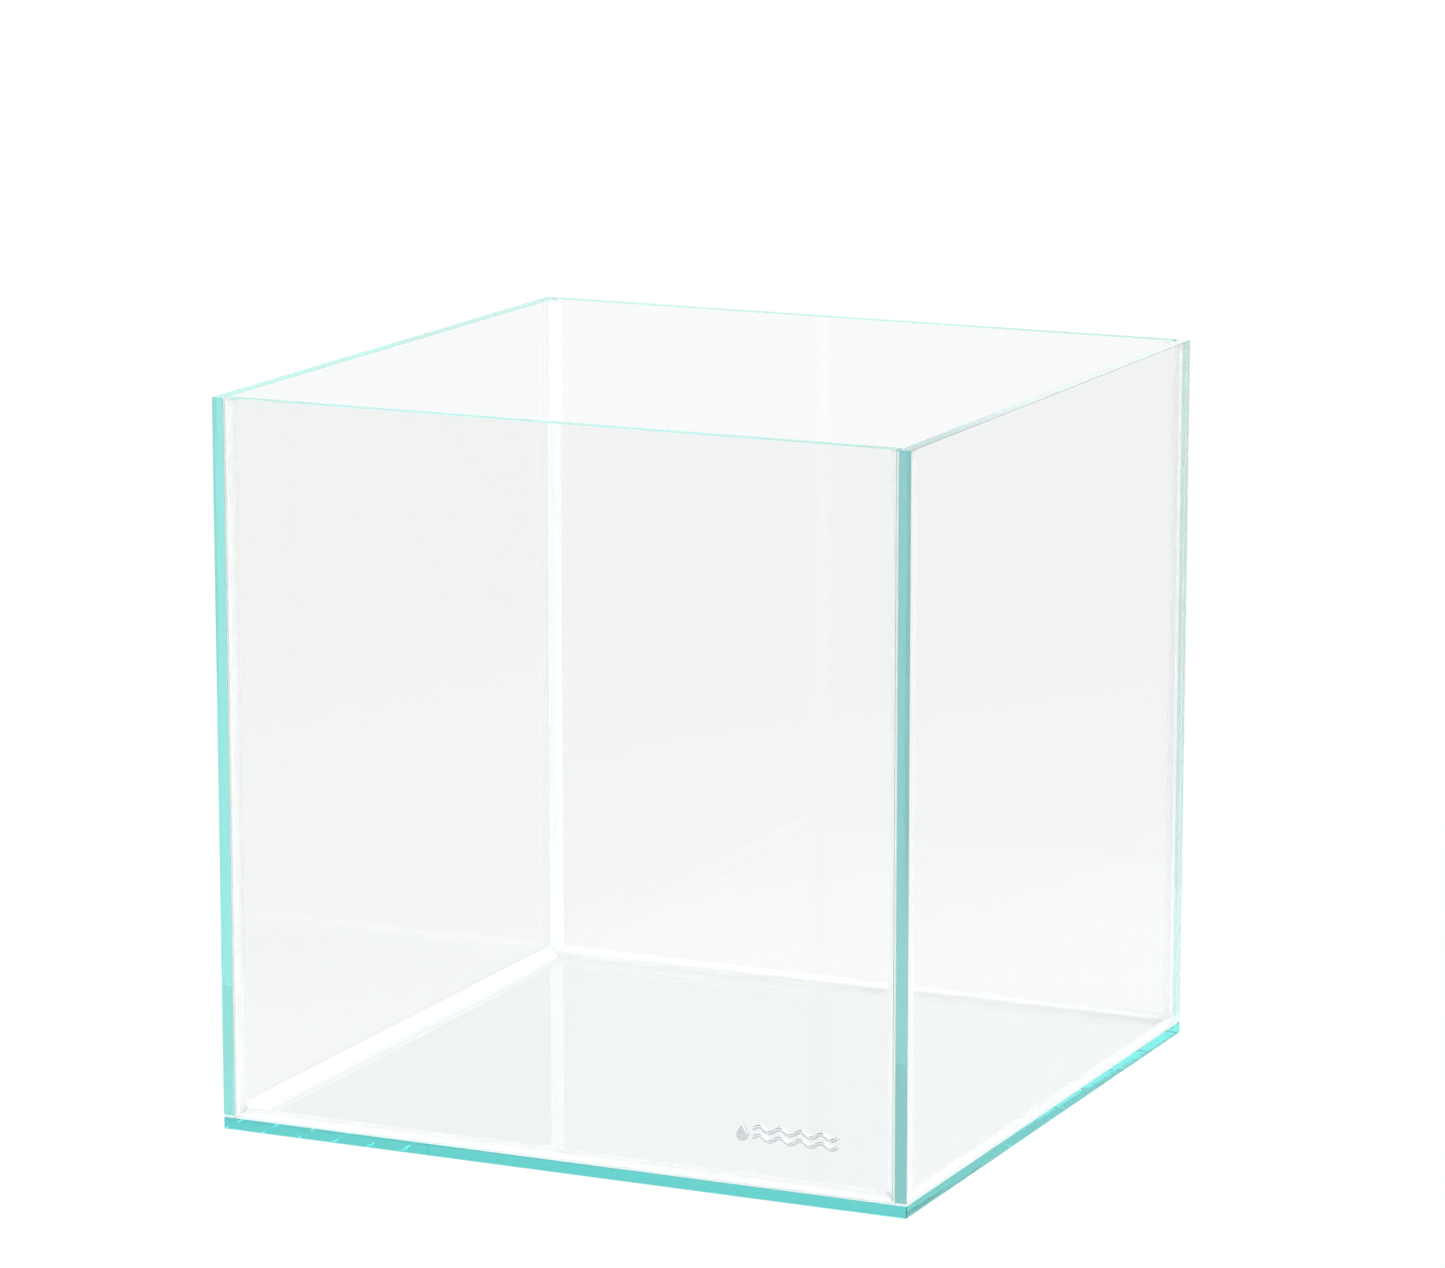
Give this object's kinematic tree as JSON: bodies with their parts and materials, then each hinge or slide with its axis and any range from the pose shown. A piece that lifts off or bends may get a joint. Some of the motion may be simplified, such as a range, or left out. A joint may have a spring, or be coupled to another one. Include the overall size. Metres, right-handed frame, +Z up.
{
  "type": "glass aquarium tank",
  "caption": "Rimless open-topped cube of bonded low-iron glass panes with clear silicone seams, to hold water, fish and aquatic plants.",
  "frame": {"origin": "centre of the footprint, on the surface that the base stands on", "axes": "+X to the right along the front pane, +Y from the front pane to the back pane, +Z up to the open rim"},
  "size_m": [0.3, 0.3016, 0.3],
  "materials": {
    "low_iron_glass": "clear float glass with polished edges that read pale aqua",
    "joint_silicone": "clear cured silicone, thin structural joint",
    "bead_silicone": "clear cured silicone, tooled smooth, slightly milky",
    "emblem_metal": "bright plated metal"
  },
  "bodies": {
    "root": {"base_panel": "low_iron_glass", "left_panel": "low_iron_glass", "right_panel": "low_iron_glass", "front_panel": "low_iron_glass", "back_panel": "low_iron_glass", "joint_front_left": "joint_silicone", "joint_front_right": "joint_silicone", "joint_back_left": "joint_silicone", "joint_back_right": "joint_silicone", "joint_base_front": "joint_silicone", "joint_base_back": "joint_silicone", "joint_base_left": "joint_silicone", "joint_base_right": "joint_silicone", "bead_front_left": "bead_silicone", "bead_front_right": "bead_silicone", "bead_back_left": "bead_silicone", "bead_back_right": "bead_silicone", "bead_base_front": "bead_silicone", "bead_base_back": "bead_silicone", "bead_base_left": "bead_silicone", "bead_base_right": "bead_silicone", "emblem_droplet": "emblem_metal", "emblem_ripple_upper": "emblem_metal", "emblem_ripple_lower": "emblem_metal"}
  },
  "joints": []
}
